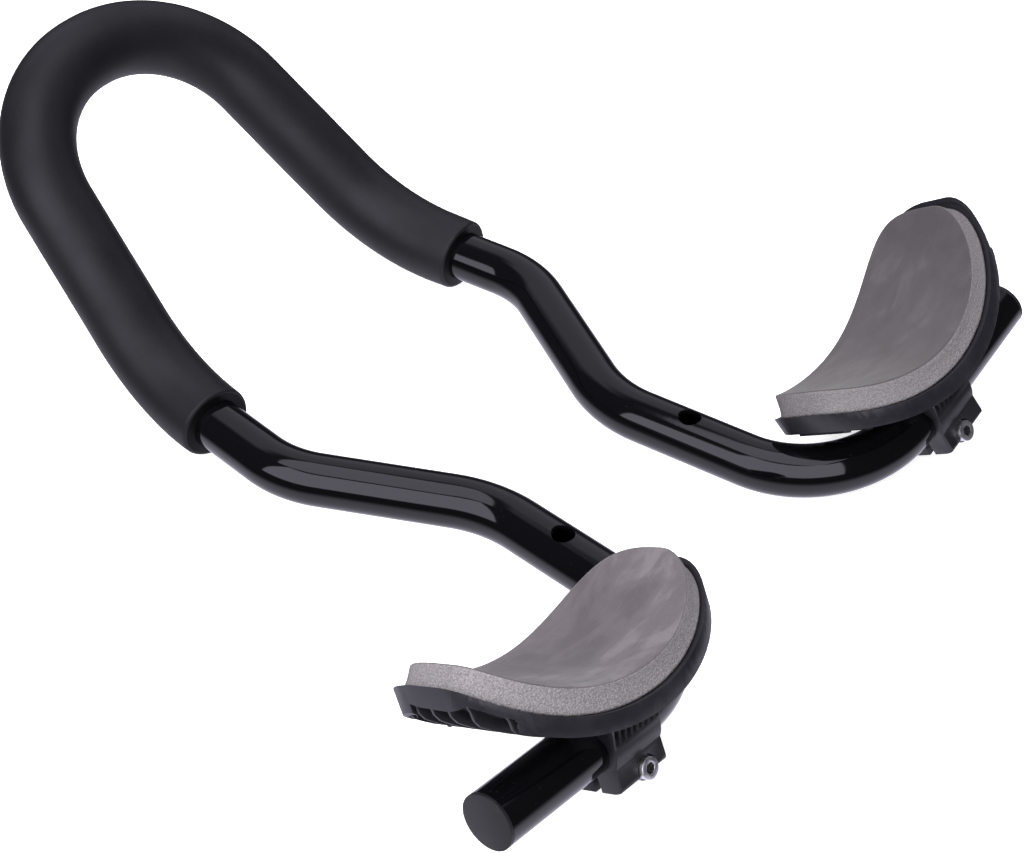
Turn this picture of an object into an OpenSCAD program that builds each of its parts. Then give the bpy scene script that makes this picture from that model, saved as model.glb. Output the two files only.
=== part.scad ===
// Clip-on forearm-rest handlebar: one bent aluminium tube with a forward loop,
// a foam hand sleeve and two cupped forearm rests on pinch clamps.
// X is across the bar (+X is the rider's right), Y points forward, Z points up.
// The origin lies midway between the two vertical bolt holes, on the tube's centre line.

/* [Tube] */
// Outer diameter of the bent tube
tube_d = 22.2; // [20:0.1:25]
// Wall of the tube
tube_wall = 2; // [1.5:0.1:3]
// Diameter of the two vertical bolt holes
bolt_hole_d = 9; // [6:0.1:10]
// Width of the chamfer round each bolt hole
bolt_hole_chamfer = 0.6; // [0.2:0.1:1]

/* [Loop] */
// Half width of the loop at its two front corners
front_corner_x = 51.7; // [45:0.1:58]
// Distance from the bolt holes forward to the front of the loop
front_corner_y = 298.4; // [270:0.1:330]
// Height of the front of the loop above the bolt holes
front_corner_z = 98.1; // [80:0.1:115]
// Straight length between the two front bends
front_straight = 2; // [1:0.1:12]
// Half width where the two legs reach the level of the arms
leg_foot_x = 71.5; // [66:0.1:76]
// Distance from the bolt holes to the foot of the legs
leg_foot_y = 191.9; // [185:0.1:200]
// Height of the foot of the legs
leg_foot_z = 7.3; // [2:0.1:12]
// Centre line radius of the bend at the foot of the legs
leg_foot_bend_r = 88; // [60:1:95]

/* [Arms] */
// Half width at the outward bend behind the legs
waist_out_x = 79.6; // [76:0.1:84]
// Distance from the bolt holes to the outward bend
waist_out_y = 114.7; // [108:0.1:120]
// Height of the outward bend
waist_out_z = 5.4; // [0:0.1:9]
// Centre line radius of the outward bend
waist_out_bend_r = 45.5; // [35:0.5:60]
// Half width at the inward bend ahead of the bolt holes
waist_in_x = 39.5; // [34:0.1:45]
// Distance from the bolt holes to the inward bend
waist_in_y = 39.1; // [34:0.1:44]
// Centre line radius of the inward bend
waist_in_bend_r = 55; // [40:0.5:60]
// Half width at the rear elbow
elbow_x = 48.8; // [44:0.1:54]
// Distance from the bolt holes back to the rear elbow
elbow_y = 74.8; // [68:0.1:84]
// Centre line radius of the rear elbow
elbow_bend_r = 50; // [35:0.5:54]
// Length of the outboard stub from the elbow's corner to the tube's end
stub_length = 125.2; // [118:0.1:150]
// Rise of the stub towards its end, in degrees
stub_rise = 8.7; // [0:0.1:14]
// Forward sweep of the stub towards its end, in degrees
stub_sweep = 2.5; // [0:0.1:8]

/* [Foam sleeve] */
// Outer diameter of the foam sleeve
foam_d = 33.2; // [28:0.1:38]
// Length of foam past the leg foot bend, on the right
foam_past_bend_right = 12.6; // [2:0.1:20]
// Length of foam past the leg foot bend, on the left
foam_past_bend_left = 3.2; // [2:0.1:20]
// Clearance between the sleeve's bore and the tube
foam_clearance = 0.05; // [0.02:0.01:0.3]

/* [End plugs] */
// Thickness of the plug's cap
plug_cap_t = 1.6; // [1:0.1:3]
// Length of the plug's spigot in the tube
plug_spigot_l = 14; // [8:0.5:25]
// Wall of the hollow spigot
plug_wall = 1.6; // [1:0.1:2.5]
// Height of the grip rings round the spigot
plug_ring_h = 0.4; // [0.2:0.1:0.6]
// Number of grip rings round the spigot
plug_rings = 4; // [2:1:5]
// Clearance between the grip rings and the tube's bore
plug_clearance = 0.05; // [0.02:0.01:0.2]

/* [Forearm cup] */
// Distance from the rear elbow's corner to the middle of the clamp, along the stub
clamp_station = 62.4; // [60:0.1:66]
// Nose-down tilt of the left cup about its stub, in degrees
tilt_left = 28.2; // [20:0.1:38]
// Nose-down tilt of the right cup about its stub, in degrees
tilt_right = 34.5; // [20:0.1:38]
// Radius of the cup's floor, across the forearm
cup_floor_r = 84.6; // [75:0.1:95]
// Height of the cup's floor above the tube's centre line
cup_floor_z = 19.1; // [17:0.1:24]
// Distance of the floor's lowest line from the clamp's middle, towards the centre
cup_valley_shift = 0.2; // [-3:0.1:5]
// Angle that the pad climbs on the outboard side, in degrees
pad_climb_out = 51; // [48:0.5:58]
// Angle that the pad climbs on the inboard side, in degrees
pad_climb_in = 40; // [38:0.5:46]
// Distance from the tube's centre line forward to the middle of the pad, below 0 behind it
pad_mid_y = -2.4; // [-6:0.1:8]
// Length of the pad ahead of its middle
pad_front = 39.5; // [34:0.1:46]
// Length of the pad behind its middle
pad_rear = 28.8; // [25:0.1:42]
// Squareness of the pad's outline in front, where 2 is an ellipse
pad_front_square = 4.4; // [2:0.05:5]
// Squareness of the pad's outline behind, where 2 is an ellipse
pad_rear_square = 2; // [2:0.05:3]
// Gap between the pad's edge and the cup's lip
pad_gap = 0.4; // [0.3:0.1:1]
// Thickness of the cup's floor
cup_floor_t = 2.5; // [2:0.1:3.5]
// Thickness of the cup's lip
cup_lip_t = 2; // [1.5:0.1:3]
// Height of the lip above the floor
cup_lip_h = 0.5; // [0.3:0.1:4]
// Depth of the lip's skirt below the top of the floor
cup_skirt_h = 6.4; // [3:0.1:8]
// Number of ribs under each end of the cup
cup_ribs = 4; // [2:1:5]
// Thickness of the ribs under the cup
cup_rib_t = 1.8; // [1.2:0.1:2.5]
// Spacing of the ribs under the cup, in degrees
cup_rib_step = 5; // [4:0.5:6]
// Depth of the ribs below the skirt
cup_rib_drop = 1; // [0.5:0.1:2.5]

/* [Clamp] */
// Width of the clamp along the stub
clamp_w = 25; // [22:0.5:27]
// Radial clearance between the clamp and the tube
clamp_clearance = 0.08; // [0.02:0.01:0.1]
// Wall of the clamp's ring round the tube
clamp_wall = 3.6; // [3:0.1:5]
// Distance from the tube's centre line to each ear's outer face
ear_y = 12.2; // [12:0.1:14]
// Depth of the ears below the tube's centre line
ear_drop = 20.4; // [20:0.1:24]
// Rounding of the ears' lower corners
ear_round = 5; // [3:0.1:6]
// Slit between the two ears
ear_slit = 3; // [2:0.1:4]
// Number of fan ribs on each face of the neck
fan_ribs = 9; // [5:2:11]
// Thickness of the fan ribs
fan_rib_t = 1.1; // [0.8:0.1:1.4]
// Reach of the fan ribs out of the neck, at their top
fan_rib_reach = 8; // [4:0.5:12]
// Angle of the outermost fan ribs, in degrees
fan_spread = 14; // [0:1:18]

/* [Fasteners] */
// Thread diameter of the pinch bolt
bolt_d = 5; // [4:0.5:5]
// Diameter of the bolt's round head
bolt_head_d = 8.5; // [8:0.1:9]
// Height of the bolt's round head
bolt_head_h = 3.4; // [3:0.1:4.5]
// Width of the hexagon socket in the head, across its flats
bolt_socket_af = 4; // [3:0.5:4]
// Depth of the hexagon socket
bolt_socket_depth = 2.2; // [1.5:0.1:2.5]
// Distance of the bolt below the tube's centre line
bolt_drop = 15.4; // [15:0.1:17]
// Distance of the bolt from the clamp's middle, towards the centre of the bar
bolt_shift = 2; // [0:0.1:4]
// Outer diameter of the washer
washer_d = 9.6; // [9:0.1:10]
// Thickness of the washer
washer_t = 0.8; // [0.5:0.1:1.2]
// Width of the nut across its flats
nut_af = 8; // [7.5:0.1:8.5]
// Thickness of the nut
nut_t = 4; // [3:0.1:4.5]
// Depth of the recess that the bolt's head stands in
head_recess = 2.6; // [2:0.1:3.5]
// Clearance round the fasteners in their holes and recesses
fastener_clearance = 0.3; // [0.2:0.05:0.5]

/* [Pad] */
// Thickness of the foam block
pad_foam_t = 9.5; // [6:0.1:12]
// Thickness of the suede cloth on top of the foam
pad_cover_t = 0.9; // [0.6:0.1:1.5]
// Thickness of the hook-and-loop patch under the foam
pad_patch_t = 0.6; // [0.4:0.1:1]
// Distance from the pad's outline in to the patch's outline
pad_patch_margin = 12; // [8:0.5:20]

/* [Hidden] */

$fn = 96;
LEFT = -1;
RIGHT = 1;
EPS = 0.01;

// Sides of the swept tube and sleeve, and the turn from one ring of points to the next
sweep_sides = 28;
sweep_step = 7.5;
bore_step = 15;
tube_r = tube_d / 2;
bore_r = tube_r - tube_wall;

// Corners of the tube's centre line, on the right side, from the front of the loop back
stub_dir = [cos(stub_rise) * cos(stub_sweep), cos(stub_rise) * sin(stub_sweep), sin(stub_rise)];
front_corner = [front_corner_x, front_corner_y, front_corner_z];
leg_foot = [leg_foot_x, leg_foot_y, leg_foot_z];
waist_out = [waist_out_x, waist_out_y, waist_out_z];
waist_in = [waist_in_x, waist_in_y, 0];
elbow = [elbow_x, -elbow_y, 0];
stub_end = elbow + stub_length * stub_dir;
right_side = [front_corner, leg_foot, waist_out, waist_in, elbow, stub_end];

// The front bends are as wide as the loop leaves room for
front_turn = turn_at([mirrored(front_corner), front_corner, leg_foot], 1);
front_bend_r = (front_corner_x - front_straight / 2) / tan(front_turn / 2);
right_bends = [front_bend_r, leg_foot_bend_r, waist_out_bend_r, waist_in_bend_r, elbow_bend_r, 0];

// The bolt holes stand where the straight arm crosses the origin's line
hole_share = waist_in_y / (waist_in_y + elbow_y);
bolt_hole_x = waist_in_x + hole_share * (elbow_x - waist_in_x);

// Radii of the pad's layers about the forearm's axis, from the floor up
patch_top_r = cup_floor_r - pad_patch_t;
foam_top_r = patch_top_r - pad_foam_t;
cover_top_r = foam_top_r - pad_cover_t;
cup_axis_z = cup_floor_z + cup_floor_r;
outline_steps = 72;
pad_steps = 36;
pad_rings = 4;

clamp_r = tube_r + clamp_clearance;
head_seat_y = ear_y - head_recess;
nut_seat_y = ear_y - nut_t;
head_recess_d = max(bolt_head_d, washer_d) + 2 * fastener_clearance;
nut_d = nut_af / cos(30);
bolt_l = head_seat_y + ear_y;

function unit(v) = v / norm(v);
function mirrored(v) = [-v.x, v.y, v.z];
function reversed(list) = [for (i = [len(list) - 1 : -1 : 0]) list[i]];

// A path on the right side joined to a mirrored path on the left side
function joined(left, right) = concat([for (v = reversed(left)) mirrored(v)], right);

// Angle that a path turns through at one of its corners
function turn_at(p, i) = acos(unit(p[i] - p[i - 1]) * unit(p[i + 1] - p[i]));

// Length of straight that a bend takes from each side of its corner
function bend_reach(p, r, i) = r[i] == 0 ? 0 : r[i] * tan(turn_at(p, i) / 2);

// Puts children with their Z along one direction and their X along another
module aim(at, x_dir, z_dir) {
    y_dir = cross(z_dir, x_dir);
    multmatrix([
        [x_dir.x, y_dir.x, z_dir.x, at.x],
        [x_dir.y, y_dir.y, z_dir.y, at.y],
        [x_dir.z, y_dir.z, z_dir.z, at.z],
        [0, 0, 0, 1]
    ]) children();
}

// Stations [point, direction] round the bend at corner i of path p, one every few degrees
function bend_stations(p, radii, i, step) =
    let (
        turn = turn_at(p, i),
        into = unit(p[i] - p[i - 1]),
        inward = unit(unit(p[i + 1] - p[i]) - into * cos(turn)),
        start = p[i] - into * bend_reach(p, radii, i),
        count = max(1, ceil(turn / step))
    )
    [for (k = [0 : count]) let (a = turn * k / count) [
        start + radii[i] * (sin(a) * into + (1 - cos(a)) * inward),
        cos(a) * into + sin(a) * inward
    ]];

// Stations along a whole path, which is bent at each of its inner corners
function path_stations(p, radii, step) =
    let (last = len(p) - 1)
    concat(
        [[p[0], unit(p[1] - p[0])]],
        [for (i = [1 : last - 1]) each bend_stations(p, radii, i, step)],
        [[p[last], unit(p[last] - p[last - 1])]]
    );

// Direction across the path, carried on from station to station without twist
function carried(across, along) = unit(across - (across * along) * along);
function across_each(stations) = [
    for (
        k = 0, across = carried([0, 0, 1], stations[0][1]);
        k < len(stations);
        k = k + 1, across = k < len(stations) ? carried(across, stations[k][1]) : across
    ) across
];

// Rings of points round the stations, one after the other
function ring_points(stations, r) =
    let (across = across_each(stations))
    [for (k = [0 : len(stations) - 1], j = [0 : sweep_sides - 1])
        let (a = j * 360 / sweep_sides, side = cross(stations[k][1], across[k]))
        stations[k][0] + r * (cos(a) * across[k] + sin(a) * side)];

// Faces of a wall through rings of points, seen from outside
function wall_faces(rings, first) = [
    for (k = [0 : rings - 2], j = [0 : sweep_sides - 1]) each
        let (a = first + k * sweep_sides, n = (j + 1) % sweep_sides, b = a + sweep_sides)
        [[a + j, b + j, b + n], [a + j, b + n, a + n]]
];

// Flat ring of faces between an outer and an inner ring of points
function cap_faces(outer, inner) = [
    for (j = [0 : sweep_sides - 1]) each
        let (n = (j + 1) % sweep_sides)
        [[outer + j, outer + n, inner + n], [outer + j, inner + n, inner + j]]
];
function turned(faces) = [for (f = faces) reversed(f)];

// Bent pipe along path p, with its own step of turn for the bore
module bent_pipe(p, radii, r, hole_r, step, hole_step) {
    outer = path_stations(p, radii, step);
    inner = path_stations(p, radii, hole_step);
    inner_first = len(outer) * sweep_sides;
    polyhedron(
        points = concat(ring_points(outer, r), ring_points(inner, hole_r)),
        faces = concat(
            wall_faces(len(outer), 0),
            turned(wall_faces(len(inner), inner_first)),
            cap_faces(0, inner_first),
            turned(cap_faces(inner_first - sweep_sides, inner_first + (len(inner) - 1) * sweep_sides))
        )
    );
}

module both_sides() {
    children();
    mirror([1, 0, 0]) children();
}

module on_side(side) {
    if (side == RIGHT) children();
    else mirror([1, 0, 0]) children();
}

// Frame of a stub: origin at a distance from the elbow, X along the stub, Y forward
module on_stub(distance) {
    forward = unit(cross([0, 0, 1], stub_dir));
    aim(elbow + distance * stub_dir, stub_dir, unit(cross(stub_dir, forward))) children();
}

// Frame of a forearm rest, tilted about its stub
module on_rest(side) {
    tilt = side == RIGHT ? tilt_right : tilt_left;
    on_side(side) on_stub(clamp_station) rotate([-tilt, 0, 0]) children();
}

module bolt_hole() {
    translate([bolt_hole_x, 0, -tube_d]) cylinder(d = bolt_hole_d, h = 2 * tube_d);
    rim_z = sqrt(tube_r * tube_r - bolt_hole_d * bolt_hole_d / 4);
    translate([bolt_hole_x, 0, rim_z - bolt_hole_chamfer])
        cylinder(d1 = bolt_hole_d, d2 = bolt_hole_d + 8 * bolt_hole_chamfer, h = 4 * bolt_hole_chamfer);
}

module bar_tube() {
    path = joined(right_side, right_side);
    radii = concat(reversed(right_bends), right_bends);
    color("#0c0c0e") difference() {
        bent_pipe(path, radii, tube_r, bore_r, sweep_step, bore_step);
        both_sides() bolt_hole();
    }
}

// One side of the sleeve's path, to a length past the leg foot bend
function sleeve_side(past) =
    let (reach = bend_reach(right_side, right_bends, 1) + past)
    [front_corner, leg_foot, leg_foot + unit(waist_out - leg_foot) * reach];

module foam_sleeve() {
    radii = [0, leg_foot_bend_r, front_bend_r, front_bend_r, leg_foot_bend_r, 0];
    path = joined(sleeve_side(foam_past_bend_left), sleeve_side(foam_past_bend_right));
    hole_r = (tube_r + foam_clearance) / cos(180 / sweep_sides);
    color("#1d1d1f") bent_pipe(path, radii, foam_d / 2, hole_r, sweep_step, sweep_step);
}

module end_plug(side) {
    ring_step = plug_spigot_l / (plug_rings + 1);
    ring_r = bore_r - plug_clearance;
    color("#232326") on_side(side) on_stub(stub_length) rotate([0, 90, 0]) difference() {
        union() {
            cylinder(r = tube_r, h = plug_cap_t);
            translate([0, 0, -plug_spigot_l]) cylinder(r = ring_r - plug_ring_h, h = plug_spigot_l);
            for (i = [1 : plug_rings]) translate([0, 0, -i * ring_step])
                cylinder(r1 = ring_r - plug_ring_h, r2 = ring_r, h = ring_step / 2);
        }
        translate([0, 0, -plug_spigot_l - EPS])
            cylinder(r = ring_r - plug_ring_h - plug_wall, h = plug_spigot_l + EPS);
    }
}

// One point of the pad's outline: the angle it climbs, and its place along the forearm
function squared(c, n) = sign(c) * pow(abs(c), 2 / n);
function outline_point(t, grow) =
    let (
        n = sin(t) > 0 ? pad_front_square : pad_rear_square,
        climb = cos(t) > 0 ? pad_climb_out : pad_climb_in,
        reach = sin(t) > 0 ? pad_front : pad_rear,
        grow_angle = grow / cup_floor_r * 180 / PI
    )
    [(climb + grow_angle) * squared(cos(t), n), (reach + grow) * squared(sin(t), n)];

// The same outline seen from above, as it lies on the cup's floor
function plan_outline(grow) = [
    for (k = [0 : outline_steps - 1])
        let (q = outline_point(k * 360 / outline_steps, grow))
        [cup_floor_r * sin(q.x) - cup_valley_shift, q.y + pad_mid_y]
];

// Round bar along the forearm's axis, about which floor and pad are curved
module forearm_cylinder(r) {
    length = 4 * (pad_front + pad_rear);
    translate([-cup_valley_shift, length / 2, cup_axis_z]) rotate([90, 0, 0]) cylinder(r = r, h = length, $fn = 180);
}

// Upright wall with the pad's outline, grown by a distance, below the forearm's axis
module outline_block(grow) {
    translate([0, 0, -cup_axis_z]) linear_extrude(2 * cup_axis_z) polygon(plan_outline(grow));
}

// Part of an upright block that lies between two radii about the forearm's axis
module curved_band(grow, r_top, r_bottom) {
    intersection() {
        outline_block(grow);
        difference() {
            forearm_cylinder(r_bottom);
            forearm_cylinder(r_top);
        }
    }
}

module cup_shell() {
    lip_grow = pad_gap + cup_lip_t;
    difference() {
        curved_band(lip_grow, cup_floor_r - cup_lip_h, cup_floor_r + cup_skirt_h);
        curved_band(pad_gap, cup_floor_r - cup_lip_h - 1, cup_floor_r);
        curved_band(pad_gap, cup_floor_r + cup_floor_t, cup_floor_r + cup_skirt_h + 1);
    }
}

// Ribs that run along the forearm under the two climbing ends
module cup_end_ribs() {
    rib_base_r = cup_floor_r + cup_floor_t / 2;
    rib_tip_r = cup_floor_r + cup_skirt_h + cup_rib_drop;
    first_out = pad_climb_out - cup_rib_step;
    first_in = pad_climb_in - cup_rib_step;
    intersection() {
        curved_band(pad_gap, rib_base_r, rib_tip_r);
        union() {
            for (i = [0 : cup_ribs - 1]) {
                cup_rib(first_out - i * cup_rib_step, rib_tip_r);
                cup_rib(-first_in + i * cup_rib_step, rib_tip_r);
            }
        }
    }
}

module cup_rib(angle, tip_r) {
    translate([-cup_valley_shift, pad_mid_y, cup_axis_z]) rotate([0, -angle, 0])
        translate([-cup_rib_t / 2, -pad_rear / 2, -tip_r - 1]) cube([cup_rib_t, (pad_front + pad_rear) / 2, tip_r]);
}

// Side profile of the clamp, drawn in the plane across the stub
module clamp_profile() {
    ring_r = clamp_r + clamp_wall;
    circle(r = ring_r);
    translate([-ear_y, 0]) square([2 * ear_y, cup_floor_z]);
    translate([-ear_y, -ear_drop + ear_round]) square([2 * ear_y, ear_drop - ear_round]);
    translate([-ear_y + ear_round, -ear_drop]) square([2 * (ear_y - ear_round), ear_round]);
    for (s = [-1, 1]) translate([s * (ear_y - ear_round), -ear_drop + ear_round]) circle(r = ear_round);
}

// Turns a profile drawn in X and Y into a slab across the stub
module across_stub(width) {
    rotate([90, 0, 90]) translate([0, 0, -width / 2]) linear_extrude(width) children();
}

module fan_rib_profile() {
    polygon([
        [0, cup_floor_z], [ear_y + fan_rib_reach, cup_floor_z],
        [ear_y + fan_rib_reach, cup_floor_z - cup_skirt_h], [ear_y, -clamp_r / 2], [0, -clamp_r / 2]
    ]);
}

// Thin ribs that fan out from the clamp's ears up to the cup, in front and behind
module fan() {
    spacing = (clamp_w - fan_rib_t) / (fan_ribs - 1);
    mid = (fan_ribs - 1) / 2;
    for (i = [0 : fan_ribs - 1]) translate([(i - mid) * spacing, 0, 0])
        rotate([0, (i - mid) / mid * fan_spread, 0]) across_stub(fan_rib_t) {
            fan_rib_profile();
            mirror([1, 0]) fan_rib_profile();
        }
}

module clamp_body() {
    across_stub(clamp_w) clamp_profile();
    fan();
}

// Along the pinch bolt: origin on the bolt's axis, Z from the nut to the head
module on_bolt() {
    translate([-bolt_shift, 0, -bolt_drop]) rotate([90, 0, 0]) children();
}

module clamp_cuts() {
    rotate([0, 90, 0]) translate([0, 0, -clamp_w]) cylinder(r = clamp_r, h = 2 * clamp_w);
    translate([-clamp_w, -ear_slit / 2, -2 * ear_drop]) cube([2 * clamp_w, ear_slit, 2 * ear_drop]);
    on_bolt() {
        translate([0, 0, -2 * ear_y]) cylinder(d = bolt_d + 2 * fastener_clearance, h = 4 * ear_y);
        translate([0, 0, head_seat_y]) cylinder(d = head_recess_d, h = 3 * ear_y);
        translate([0, 0, -4 * ear_y]) cylinder(d = nut_d + 2 * fastener_clearance, h = 4 * ear_y - nut_seat_y, $fn = 6);
    }
}

module forearm_cup(side) {
    color("#1a1a1c") on_rest(side) {
        difference() {
            union() {
                cup_shell();
                cup_end_ribs();
                difference() {
                    clamp_body();
                    forearm_cylinder(cup_floor_r + cup_floor_t / 2);
                }
            }
            clamp_cuts();
        }
    }
}

module clamp_bolt(side) {
    color("#c9cacc") on_rest(side) on_bolt() difference() {
        union() {
            translate([0, 0, -ear_y]) cylinder(d = bolt_d, h = bolt_l + washer_t);
            translate([0, 0, head_seat_y + washer_t]) cylinder(d = bolt_head_d, h = bolt_head_h);
        }
        translate([0, 0, head_seat_y + washer_t + bolt_head_h - bolt_socket_depth])
            cylinder(d = bolt_socket_af / cos(30), h = bolt_head_h, $fn = 6);
    }
}

module clamp_washer(side) {
    color("#bdbec0") on_rest(side) on_bolt() translate([0, 0, head_seat_y]) difference() {
        cylinder(d = washer_d, h = washer_t);
        translate([0, 0, -EPS]) cylinder(d = bolt_d + fastener_clearance, h = 2 * washer_t);
    }
}

module clamp_nut(side) {
    color("#b4b5b8") on_rest(side) on_bolt() translate([0, 0, -ear_y]) difference() {
        cylinder(d = nut_d, h = nut_t, $fn = 6);
        translate([0, 0, -EPS]) cylinder(d = bolt_d, h = 2 * nut_t);
    }
}

// Point on the pad at a share of the way from its middle to its outline
function pad_point(t, share, r) =
    let (q = outline_point(t, 0) * share)
    [r * sin(q.x) - cup_valley_shift, q.y + pad_mid_y, cup_axis_z - r * cos(q.x)];

// Layer of the pad between two radii, cut square to its curved faces
module pad_layer(r_top, r_bottom) {
    n = pad_steps;
    shares = [for (k = [1 : pad_rings]) k / pad_rings];
    top = [for (s = shares, k = [0 : n - 1]) pad_point(k * 360 / n, s, r_top)];
    bottom = [for (s = shares, k = [0 : n - 1]) pad_point(k * 360 / n, s, r_bottom)];
    mids = [pad_point(0, 0, r_top), pad_point(0, 0, r_bottom)];
    low = len(top);
    top_mid = 2 * low;
    bottom_mid = top_mid + 1;
    rim = (pad_rings - 1) * n;
    polyhedron(
        points = concat(top, bottom, mids),
        faces = [
            for (k = [0 : n - 1]) let (j = (k + 1) % n) each concat(
                [[top_mid, j, k], [bottom_mid, low + k, low + j]],
                [[rim + k, rim + j, low + rim + j], [rim + k, low + rim + j, low + rim + k]],
                [for (i = [0 : pad_rings - 2]) each let (a = i * n, b = a + n) [
                    [a + k, a + j, b + j], [a + k, b + j, b + k],
                    [low + a + k, low + b + j, low + a + j], [low + a + k, low + b + k, low + b + j]
                ]]
            )
        ]
    );
}

module pad_foam(side) {
    color("#8b8187") on_rest(side) pad_layer(foam_top_r, patch_top_r);
}

module pad_cover(side) {
    color("#7d7379") on_rest(side) pad_layer(cover_top_r, foam_top_r);
}

module pad_patch(side) {
    color("#2a2a2c") on_rest(side) curved_band(-pad_patch_margin, patch_top_r, cup_floor_r);
}

bar_tube();
foam_sleeve();
end_plug(LEFT);  // left_end_plug
end_plug(RIGHT);  // right_end_plug
forearm_cup(LEFT);  // left_forearm_cup
forearm_cup(RIGHT);  // right_forearm_cup
clamp_bolt(LEFT);  // left_clamp_bolt
clamp_bolt(RIGHT);  // right_clamp_bolt
clamp_washer(LEFT);  // left_clamp_washer
clamp_washer(RIGHT);  // right_clamp_washer
clamp_nut(LEFT);  // left_clamp_nut
clamp_nut(RIGHT);  // right_clamp_nut
pad_foam(LEFT);  // left_pad_foam
pad_foam(RIGHT);  // right_pad_foam
pad_cover(LEFT);  // left_pad_cover
pad_cover(RIGHT);  // right_pad_cover
pad_patch(LEFT);  // left_pad_patch
pad_patch(RIGHT);  // right_pad_patch
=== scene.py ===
"""Looks of the handlebar with forearm rests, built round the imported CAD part.

Materials, smooth tube and sleeve, pads, eased mouldings, studio and camera.
"""
import math

import bpy
import bmesh
from mathutils import Matrix, Vector, noise


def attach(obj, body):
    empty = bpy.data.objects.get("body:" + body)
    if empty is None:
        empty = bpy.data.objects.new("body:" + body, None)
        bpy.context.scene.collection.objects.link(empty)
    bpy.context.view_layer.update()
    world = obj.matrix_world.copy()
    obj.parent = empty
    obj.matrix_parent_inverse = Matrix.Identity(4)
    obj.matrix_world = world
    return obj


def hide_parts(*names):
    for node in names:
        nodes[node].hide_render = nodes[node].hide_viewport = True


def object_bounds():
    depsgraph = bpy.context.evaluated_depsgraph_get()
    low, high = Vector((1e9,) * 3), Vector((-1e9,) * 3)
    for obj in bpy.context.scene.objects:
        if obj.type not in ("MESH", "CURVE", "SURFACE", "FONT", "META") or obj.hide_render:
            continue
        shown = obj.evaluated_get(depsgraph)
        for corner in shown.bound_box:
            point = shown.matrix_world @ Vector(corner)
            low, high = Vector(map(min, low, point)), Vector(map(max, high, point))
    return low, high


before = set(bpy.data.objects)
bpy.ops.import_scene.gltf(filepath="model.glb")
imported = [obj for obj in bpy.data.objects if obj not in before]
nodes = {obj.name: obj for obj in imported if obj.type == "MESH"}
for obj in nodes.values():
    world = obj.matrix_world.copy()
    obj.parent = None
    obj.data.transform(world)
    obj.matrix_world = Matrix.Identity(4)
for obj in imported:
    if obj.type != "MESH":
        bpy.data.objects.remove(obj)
cad_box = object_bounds()


# Node helpers

class Nodes:
    """Short ways to add shader nodes to one material or world."""

    def __init__(self, tree):
        self.tree = tree
        tree.nodes.clear()

    def add(self, kind, **inputs):
        node = self.tree.nodes.new(kind)
        for key, value in inputs.items():
            if key.startswith("p_"):
                setattr(node, key[2:], value)
        for key, value in inputs.items():
            if not key.startswith("p_"):
                self.put(node.inputs[key.replace("_", " ")], value)
        return node

    def put(self, socket, value):
        if isinstance(value, bpy.types.NodeSocket):
            self.tree.links.new(value, socket)
        else:
            socket.default_value = value

    def math(self, how, a, b=0.0, clamp=False):
        node = self.tree.nodes.new("ShaderNodeMath")
        node.operation = how
        node.use_clamp = clamp
        self.put(node.inputs[0], a)
        self.put(node.inputs[1], b)
        return node.outputs[0]

    def noise(self, where, scale, detail=2.0, roughness=0.5, distortion=0.0):
        return self.add("ShaderNodeTexNoise", Vector=where, Scale=scale, Detail=detail,
                        Roughness=roughness, Distortion=distortion).outputs["Fac"]

    def ramp(self, fac, stops):
        """Colour ramp; a stop is (place, grey or colour)."""
        node = self.tree.nodes.new("ShaderNodeValToRGB")
        self.put(node.inputs[0], fac)
        cells = node.color_ramp.elements
        while len(cells) < len(stops):
            cells.new(0.5)
        for cell, (place, value) in zip(cells, stops):
            cell.position = place
            cell.color = (*value, 1) if isinstance(value, tuple) else (value, value, value, 1)
        return node.outputs["Color"]

    def span(self, value, low, high, to_low=0.0, to_high=1.0, smooth=False):
        node = self.tree.nodes.new("ShaderNodeMapRange")
        node.interpolation_type = "SMOOTHSTEP" if smooth else "LINEAR"
        for socket, v in zip(node.inputs[:5], (value, low, high, to_low, to_high)):
            self.put(socket, v)
        return node.outputs[0]

    def mix(self, fac, a, b, how="MIX"):
        node = self.tree.nodes.new("ShaderNodeMix")
        node.data_type = "RGBA"
        node.blend_type = how
        self.put(node.inputs[0], fac)
        self.put(node.inputs[6], a if not isinstance(a, tuple) else (*a, 1))
        self.put(node.inputs[7], b if not isinstance(b, tuple) else (*b, 1))
        return node.outputs[2]


def material(name, build, **socket_values):
    """New node material with one Principled shader; build(nodes, shader) links what varies."""
    made = bpy.data.materials.new(name)
    made.use_nodes = True
    n = Nodes(made.node_tree)
    shader = n.add("ShaderNodeBsdfPrincipled")
    for key, value in socket_values.items():
        shader.inputs[key.replace("_", " ")].default_value = value
    out = n.add("ShaderNodeOutputMaterial")
    made.node_tree.links.new(shader.outputs[0], out.inputs["Surface"])
    where = n.add("ShaderNodeTexCoord").outputs["Object"]
    build(n, shader, where)
    return made


def bump(n, shader, height, distance, strength=1.0):
    node = n.add("ShaderNodeBump", Height=height, Distance=distance, Strength=strength)
    n.put(shader.inputs["Normal"], node.outputs[0])


def paint_look(n, shader, where):
    """Gloss black coat: faint orange peel, fine dust, and slow changes in gloss."""
    peel = n.noise(where, 260, 2)
    slow = n.noise(where, 14, 3)
    dust = n.span(n.noise(where, 900, 1), 0.74, 0.8)
    n.put(shader.inputs["Base Color"], n.mix(dust, (0.0019, 0.0018, 0.0024), (0.014, 0.014, 0.016)))
    n.put(shader.inputs["Roughness"], n.span(slow, 0.3, 0.7, 0.045, 0.08))
    bump(n, shader, peel, 0.000008, 0.5)


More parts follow.
